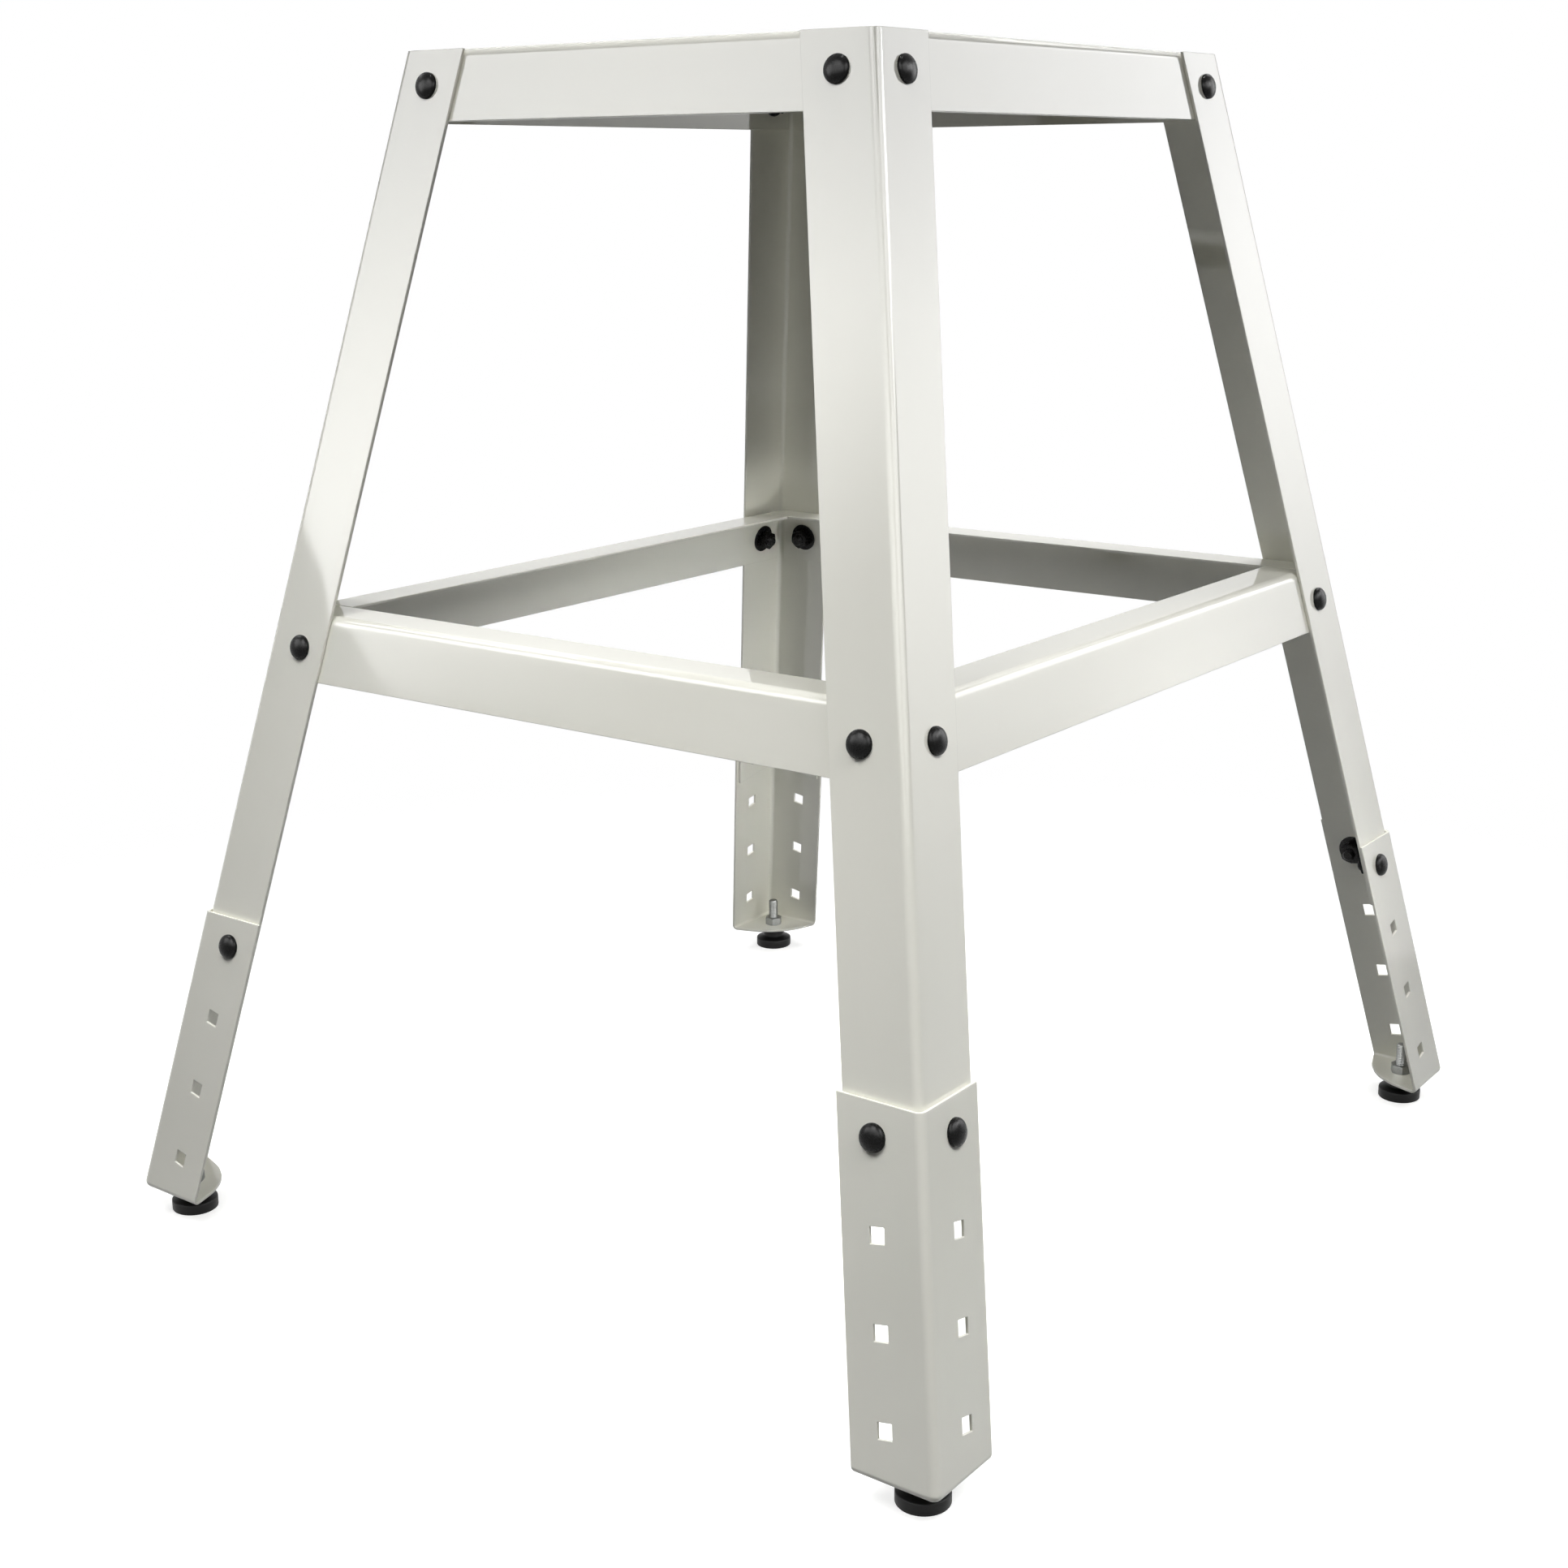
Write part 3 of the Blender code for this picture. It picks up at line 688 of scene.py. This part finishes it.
def ring_rows(radius, height):
    """Rows of points round the Z axis; radius and height are one value a row, or one for every point."""
    radius, height = np.broadcast_arrays(np.asarray(radius, float), np.asarray(height, float))
    radius = np.broadcast_to(radius.reshape(len(radius), -1), (len(radius), RING))
    height = np.broadcast_to(height.reshape(len(height), -1), (len(height), RING))
    return np.stack((radius * np.cos(ANGLE), radius * np.sin(ANGLE), height), axis=-1)


def wrapped_faces(count, closed, offset=0):
    """Quads between neighbouring rings. A closed stack joins its last ring to its first; others get caps."""
    rows = np.arange(count if closed else count - 1)[:, None]
    cols = np.arange(RING)[None, :]
    here, above, right = rows * RING, (rows + 1) % count * RING, (cols + 1) % RING
    quads = np.stack((here + cols, here + right, above + right, above + cols), axis=-1)
    faces = (quads.reshape(-1, 4) + offset).tolist()
    if not closed:
        ring = np.arange(RING) + offset
        faces += [ring[::-1].tolist(), (ring + (count - 1) * RING).tolist()]
    return faces


def turned_mesh(name, stacks, centre, basis):
    """Mesh of stacks of rings, each (points, closed), put at the centre with its axes along the basis."""
    vertices, faces = [], []
    for points, closed in stacks:
        faces += wrapped_faces(len(points), closed, sum(map(len, vertices)))
        vertices.append(points.reshape(-1, 3) @ np.array(basis) + centre)
    mesh = bpy.data.meshes.new(name)
    mesh.from_pydata(np.vstack(vertices).tolist(), [], faces)
    mesh.shade_smooth()
    mesh.set_sharp_from_angle(angle=SHARP_ANGLE)
    return mesh


print("turned pieces have", RING, "points a ring")

# %% Hexagons, squares, nuts and threads
NUT_LEAD, NUT_COLLAR = 0.5 * MM, 0.2 * MM


def hexagon(flats):
    """Radius of a hexagon by direction: half the flats over the cosine of the angle from the near flat."""
    return flats / 2 / np.cos(ANGLE % (np.pi / 3) - np.pi / 6)


def square(width):
    """Radius of a square in each direction: half its width over the larger of the cosine and the sine."""
    return width / 2 / np.maximum(np.abs(np.cos(ANGLE)), np.abs(np.sin(ANGLE)))


def nut_rows(flats, height, bore):
    """Closed stack of a chamfered nut. A 30 degree cone cuts the corners, so the height of each edge falls
    with the hexagon's radius beyond the flats: that gives the curved ends of the flats."""
    six = hexagon(flats)
    fall = (six - flats / 2) * np.tan(np.pi / 6)
    collar = np.full(RING, flats / 2 - NUT_COLLAR)
    inner = np.full(RING, bore / 2)
    lead = inner + NUT_LEAD
    flat = np.zeros(RING)
    radius = np.stack((inner, lead, collar, six, six, collar, lead, inner))
    z = np.stack((flat + NUT_LEAD, flat, flat, fall, height - fall, flat + height, flat + height,
                  flat + height - NUT_LEAD))
    return ring_rows(radius, z)


def thread_rows(radius, low, high, pitch, depth, per_turn=8):
    """Rows of a thread: the radius falls and rises by the depth once each pitch, and climbs as it turns."""
    z = np.linspace(low, high, int((high - low) / pitch * per_turn))
    wave = np.abs((z[:, None] / pitch - ANGLE / (2 * np.pi)) % 1.0 - 0.5) * 2
    return np.broadcast_to(radius - depth * wave, (len(z), RING)), np.repeat(z[:, None], RING, axis=1)


print("over its corners a hexagon is", round(float(hexagon(1.0).max()) * 2, 3), "times as wide")

# %% [markdown]
# ## Carriage bolts
# Each joint has a carriage bolt with a low dome outside. The square neck under it sits in the square
# holes and keeps the bolt from turning, while a washer and a nut hold the sheets from inside. The bolt,
# washer and nut are three stacks in one mesh, built once upright and then carried to each place along the
# directions of its face.

# %% One bolt with its washer and nut
HEAD, HEAD_HEIGHT, HEAD_RIM = 15.6 * MM, 4.8 * MM, 0.7 * MM
NECK = 8.2 * MM
SHANK, PITCH, THREAD_DEPTH = 8.0 * MM, 1.25 * MM, 0.55 * MM
GRIP = 2 * SHEET + CLEARANCE
WASHER, WASHER_HOLE, WASHER_THICK = 21.0 * MM, 8.4 * MM, 1.6 * MM
NUT_FLATS, NUT_HEIGHT = 13.0 * MM, 6.5 * MM
TIP, TIP_CHAMFER, TIP_INSET = 3.0 * MM, 0.6 * MM, 0.8 * MM
THREAD_RUNOUT, WASHER_ROUND = 0.3 * MM, 0.25 * MM
DOME_ROWS, DOME_START = 12, math.radians(5)


def bolt_stacks():
    """Stacks of a bolt, its washer and its nut: the outer sheet's face is at height 0, the head above it."""
    tilt = np.linspace(DOME_START, np.pi / 2, DOME_ROWS)
    dome = HEAD / 2 * np.sin(tilt), HEAD_RIM + (HEAD_HEIGHT - HEAD_RIM) * np.cos(tilt)
    end = -(GRIP + WASHER_THICK + NUT_HEIGHT + TIP)
    thread_ends = end + TIP_CHAMFER, -GRIP - THREAD_RUNOUT
    thread_r, thread_z = thread_rows(SHANK / 2, *thread_ends, PITCH, THREAD_DEPTH)
    neck = square(NECK)
    radius = np.vstack((
        np.repeat(dome[0][:, None], RING, axis=1), np.full(RING, HEAD / 2), neck, neck, thread_r[::-1],
        np.full(RING, SHANK / 2 - TIP_INSET)))
    z = np.vstack((
        np.repeat(dome[1][:, None], RING, axis=1), np.zeros(RING), np.zeros(RING), np.full(RING, -GRIP),
        thread_z[::-1], np.full(RING, end)))
    rim = WASHER / 2 - WASHER_ROUND
    washer_r = np.array((WASHER_HOLE / 2, rim, WASHER / 2, WASHER / 2, rim, WASHER_HOLE / 2))
    washer_z = -GRIP - np.array((0.0, 0.0, WASHER_ROUND, WASHER_THICK - WASHER_ROUND, WASHER_THICK,
                                 WASHER_THICK))
    nut = nut_rows(NUT_FLATS, NUT_HEIGHT, SHANK - THREAD_DEPTH)
    nut[:, :, 2] -= GRIP + WASHER_THICK + NUT_HEIGHT
    return [(ring_rows(radius, z)[::-1], False), (ring_rows(washer_r, washer_z), True), (nut[::-1], True)]


BOLT = bolt_stacks()
print("a bolt has", sum(len(points) for points, _ in BOLT), "rings")

# %% A bolt at every joint
for bolt_level, bolt_spot in BOLT_LEVELS.items():
    for corner_name, corner_signs in CORNERS.items():
        one, other = corner_name.split("_")
        for bolt_face, bolt_end in ((one, other), (other, one)):
            bolt_node = f"{bolt_level}_bolt_{bolt_face}_{bolt_end}"
            spot, *axes = bolt_place(bolt_face, corner_signs, *bolt_spot)
            bolt_mesh = turned_mesh(bolt_node + "_turned", BOLT, spot, axes)
            bolt_piece = dress("black", bolt_node, bolt_mesh, FINISHES)
    print(bolt_piece.name, "differs from its solid by", misfit(bolt_piece, bolt_node), "mm")

# %% [markdown]
# ## Levelling feet
# A foot is a threaded stud in a round pad. The stud screws through the tab and its nut, so turning it
# lifts or lowers the corner of the stand. The pad's profile is a disc with soft edges, a sloped shoulder
# and a boss round the stud.

# %% Profiles of the pad and the stud
TAB_TOP = TAB_BOTTOM + SHEET
PAD, PAD_RIM, PAD_SHOULDER = 30.0 * MM, 7.0 * MM, 9.0 * MM
BOSS, BOSS_TOP = 18.0 * MM, 16.7 * MM
SOLE_MIDDLE, SOCKET_FLOOR = 0.02 * MM, 4.0 * MM
PAD_ROUND, ROUND_STEPS = 0.7 * MM, 4
STUD_REACH, STUD_CHAMFER = 22.0 * MM, 0.8 * MM


def rounded(profile, reach):
    """Profile of (radius, height) points whose inner corners become small arcs of the given reach."""
    before, corner, after = profile[:-2], profile[1:-1], profile[2:]
    first = (before - corner) / np.linalg.norm(before - corner, axis=1, keepdims=True)
    second = (after - corner) / np.linalg.norm(after - corner, axis=1, keepdims=True)
    arcs = fold(corner, first, second, reach, ROUND_STEPS)
    return np.vstack((profile[:1], arcs.transpose(1, 0, 2).reshape(-1, 2), profile[-1:]))


def pad_stack():
    """Stack of a pad: from the middle of its sole, round the disc, up the boss and down into the socket."""
    socket = SHANK / 2 + CLEARANCE
    corners = np.array(((SOLE_MIDDLE, 0.0), (PAD / 2, 0.0), (PAD / 2, PAD_RIM), (BOSS / 2, PAD_SHOULDER),
                        (BOSS / 2, BOSS_TOP), (socket, BOSS_TOP), (socket, SOCKET_FLOOR)))
    profile = rounded(corners, PAD_ROUND)
    return [(ring_rows(profile[:, 0], profile[:, 1]), False)]


def stud_stack():
    """Stack of a stud: a thread with a chamfer at either end."""
    low, high = SOCKET_FLOOR + CLEARANCE, TAB_TOP + STUD_REACH
    radius, z = thread_rows(SHANK / 2, low + STUD_CHAMFER, high - STUD_CHAMFER, PITCH, THREAD_DEPTH)
    tip = np.full(RING, SHANK / 2 - STUD_CHAMFER)
    radius = np.vstack((tip, radius, tip))
    z = np.vstack((np.full(RING, low), z, np.full(RING, high)))
    return [(ring_rows(radius, z), False)]


print("a stud ends", round((TAB_TOP + STUD_REACH) / MM, 1), "mm above the floor")

# %% Pads, studs and foot nuts
STUD_NUT_BORE = 8.15 * MM
UPRIGHT = np.eye(3)
FOOT_NUT = nut_rows(NUT_FLATS, NUT_HEIGHT, STUD_NUT_BORE) + np.array((0.0, 0.0, TAB_TOP))
FOOT_PARTS = {"foot_pad": ("moulded", pad_stack()), "foot_stud": ("threaded", stud_stack()),
              "foot_nut": ("hexagon", [(FOOT_NUT, True)])}
for corner_name, corner_signs in CORNERS.items():
    foot = foot_point(corner_signs, 0.0)
    for part, (prefix, stacks) in FOOT_PARTS.items():
        foot_node = f"{part}_{corner_name}"
        foot_mesh = turned_mesh(foot_node + "_turned", stacks, foot, UPRIGHT)
        foot_piece = dress(prefix, foot_node, foot_mesh, FINISHES)
        print(foot_piece.name, "differs from its solid by", misfit(foot_piece, foot_node), "mm")

# %% [markdown]
# ## Floor, lamps and background
# The stand is shown alone, on white and under soft lamps. The floor is a pale sheet that fades out all
# round into the white background. Camera, glossy and transmitted rays see the bright ground, while the
# light that it throws back up at the stand is that of a plain grey floor, so the inner faces stay darker
# than the outer ones, as in the picture.
#
# The soft boxes hang close to the outer faces and shine down along them. Their spread is narrowed, like
# that of a real soft box with a grid, so less light reaches the inner faces. One more, right above, lights
# only the top ring. A small low lamp finds its way from the right to the far leg, between the near ones.
# The panels show only as reflections in the glossy coat, which is how a studio shapes the sheen on flat
# sheet: the edge of one crosses the left leg as a slanting line, and others draw the bright line along the
# near bend. Stronger lamps would do neither, and would clip the pale coat to white.

# %% Pale floor that fades into the background
FLOOR_HALF, FADE_FROM, FADE_TO = 2.0, 0.4, 1.1
FLOOR_GLOW = 0.72

floor_mesh = bpy.data.meshes.new("pale_floor")
floor_corners = np.array(((-1, -1, 0), (1, -1, 0), (1, 1, 0), (-1, 1, 0))) * FLOOR_HALF
floor_mesh.from_pydata(floor_corners.tolist(), [], [(0, 1, 2, 3)])
floor = bpy.data.objects.new("pale_floor", floor_mesh)
bpy.context.scene.collection.objects.link(floor)

ground, tree, shader = blank("pale studio floor")
rays = add(tree, "ShaderNodeLightPath").outputs
seen = add(tree, "ShaderNodeMath", [(0, rays["Is Camera Ray"]), (1, rays["Is Glossy Ray"])],
           operation="MAXIMUM")
seen = add(tree, "ShaderNodeMath", [(0, seen.outputs[0]), (1, rays["Is Transmission Ray"])],
           operation="MAXIMUM")
place = add(tree, "ShaderNodeTexCoord").outputs["Object"]
distance = add(tree, "ShaderNodeVectorMath", [(0, place)], operation="LENGTH").outputs["Value"]
fade = add(tree, "ShaderNodeMapRange", [("Value", distance), ("From Min", FADE_FROM), ("From Max", FADE_TO)],
           interpolation_type="SMOOTHSTEP")
shown = add(tree, "ShaderNodeBsdfDiffuse", [("Color", linear("#C9C9C7"))])
lift = add(tree, "ShaderNodeEmission", [("Color", linear("#FFFFFF")), ("Strength", FLOOR_GLOW)])
bright = add(tree, "ShaderNodeAddShader", [(0, shown.outputs[0]), (1, lift.outputs[0])])
thrown = add(tree, "ShaderNodeBsdfDiffuse", [("Color", linear("#585856"))])
either = add(tree, "ShaderNodeMixShader", [(0, seen.outputs[0]), (1, thrown.outputs[0]),
                                           (2, bright.outputs[0])])
clear = add(tree, "ShaderNodeBsdfTransparent")
faded = add(tree, "ShaderNodeMixShader", [(0, fade.outputs[0]), (1, either.outputs[0]),
                                          (2, clear.outputs[0])])
tree.links.new(faded.outputs[0], tree.nodes["Material Output"].inputs["Surface"])
tree.nodes.remove(shader)
floor_mesh.materials.append(ground)
print("floor fades out between", FADE_FROM, "and", FADE_TO, "m")

# %% White background, dim surroundings
SURROUND = 0.01

world = bpy.data.worlds.new("white studio")
bpy.context.scene.world = world
world.use_nodes = True
tree = world.node_tree
tree.nodes.clear()
rays = add(tree, "ShaderNodeLightPath").outputs
seen = add(tree, "ShaderNodeMath", [(0, rays["Is Camera Ray"]), (1, rays["Is Glossy Ray"])],
           operation="MAXIMUM")
seen = add(tree, "ShaderNodeMath", [(0, seen.outputs[0]), (1, rays["Is Transmission Ray"])],
           operation="MAXIMUM")
backdrop = add(tree, "ShaderNodeBackground", [("Color", linear("#FFFFFF")), ("Strength", 1.0)])
dim = add(tree, "ShaderNodeBackground", [("Color", linear("#FFFFFF")), ("Strength", SURROUND)])
either = add(tree, "ShaderNodeMixShader", [(0, seen.outputs[0]), (1, dim.outputs[0]),
                                           (2, backdrop.outputs[0])])
add(tree, "ShaderNodeOutputWorld", [("Surface", either.outputs[0])])
print("surroundings at", SURROUND)

# %% Lamps: place, aim, size in metres, spread and roll in degrees, watts
SOFT_BOXES = {
    "front_soft_box": ((0.01, -0.78, 1.05), (0.01, -0.51, 0.0), (0.5, 0.5), 100.0, 0.0, 3.3),
    "right_soft_box": ((0.88, -0.13, 1.08), (0.54, -0.12, 0.0), (0.9, 0.45), 100.0, 0.0, 4.3),
    "rear_soft_box": ((0.0, 0.78, 1.05), (0.0, 0.51, 0.0), (0.5, 0.5), 100.0, 0.0, 2.6),
    "left_soft_box": ((-0.80, 0.0, 1.02), (-0.52, 0.0, 0.0), (0.9, 0.45), 100.0, 0.0, 2.8),
    "top_soft_box": ((0.0, 0.0, 1.00), (0.0, 0.0, 0.0), (0.39, 0.34), 6.0, 0.0, 0.32),
    "low_right_lamp": ((1.60, -0.15, 0.08), (-0.27, 0.13, 0.19), (0.2, 0.12), 20.0, 0.0, 0.27),
}
PANELS = {
    "front_left_panel": ((-0.855, -1.267, 0.832), (-0.005, -0.297, 0.452), (0.85, 1.2), 180.0, 37.5, 22.0),
    "rear_right_panel": ((1.024, 1.235, 0.583), (0.374, 0.035, 0.283), (0.92, 1.45), 180.0, 0.0, 21.5),
    "front_panel": ((0.30, -1.35, 1.10), (0.20, -0.20, 0.60), (1.7, 0.9), 180.0, 0.0, 28.0),
    "right_panel": ((1.45, -0.35, 1.10), (0.20, -0.20, 0.60), (1.4, 0.9), 180.0, 0.0, 23.0),
    "corner_panel": ((1.42, 0.60, 1.15), (0.17, -0.19, 0.69), (0.9, 0.5), 180.0, 0.0, 18.0),
}
# Shares of a panel's height where its light starts to rise and where it is full, and its least light
PANEL_FADE = {
    "front_left_panel": (0.22, 0.56, 0.0),
    "rear_right_panel": (0.10, 0.72, 0.12),
    "front_panel": (0.0, 0.5, 0.4),
    "right_panel": (0.0, 0.5, 0.4),
    "corner_panel": (0.0, 0.4, 0.3),
}

# %% Hang the lamps


def add_lamp(name, place, aim, size, spread, roll, watts):
    """Rectangular lamp that looks from its place at the aim, turned about that line by the roll."""
    lamp_data = bpy.data.lights.new(name, "AREA")
    lamp_data.shape = "RECTANGLE"
    lamp_data.size, lamp_data.size_y = size
    lamp_data.spread = math.radians(spread)
    lamp_data.energy = watts
    lamp = bpy.data.objects.new(name, lamp_data)
    bpy.context.scene.collection.objects.link(lamp)
    back = np.array(place) - np.array(aim)
    swing = Matrix.Rotation(math.atan2(back[1], back[0]) + math.pi / 2, 4, "Z")
    tilt = Matrix.Rotation(math.acos(back[2] / np.linalg.norm(back)), 4, "X")
    turned = swing @ tilt @ Matrix.Rotation(math.radians(roll), 4, "Z")
    lamp.matrix_world = Matrix.Translation(place) @ turned
    lamp.visible_camera = False
    return lamp


for lamp_name, lamp_settings in SOFT_BOXES.items():
    add_lamp(lamp_name, *lamp_settings)
for lamp_name, lamp_settings in PANELS.items():
    panel = add_lamp(lamp_name, *lamp_settings)
    panel.visible_diffuse = False
    panel.data.use_nodes = True
    tree = panel.data.node_tree
    spot = add(tree, "ShaderNodeNewGeometry").outputs["Parametric"]
    rise = add(tree, "ShaderNodeSeparateXYZ", [("Vector", spot)]).outputs["Y"]
    dark_end, bright_from, least = PANEL_FADE[lamp_name]
    fade = add(tree, "ShaderNodeMapRange", [("Value", rise), ("From Min", dark_end),
                                            ("From Max", bright_from), ("To Min", least)],
               interpolation_type="SMOOTHSTEP")
    tree.links.new(fade.outputs["Result"], tree.nodes["Emission"].inputs["Strength"])
bpy.context.scene.view_settings.view_transform = "Standard"
print(len(SOFT_BOXES), "soft boxes and", len(PANELS), "panels")
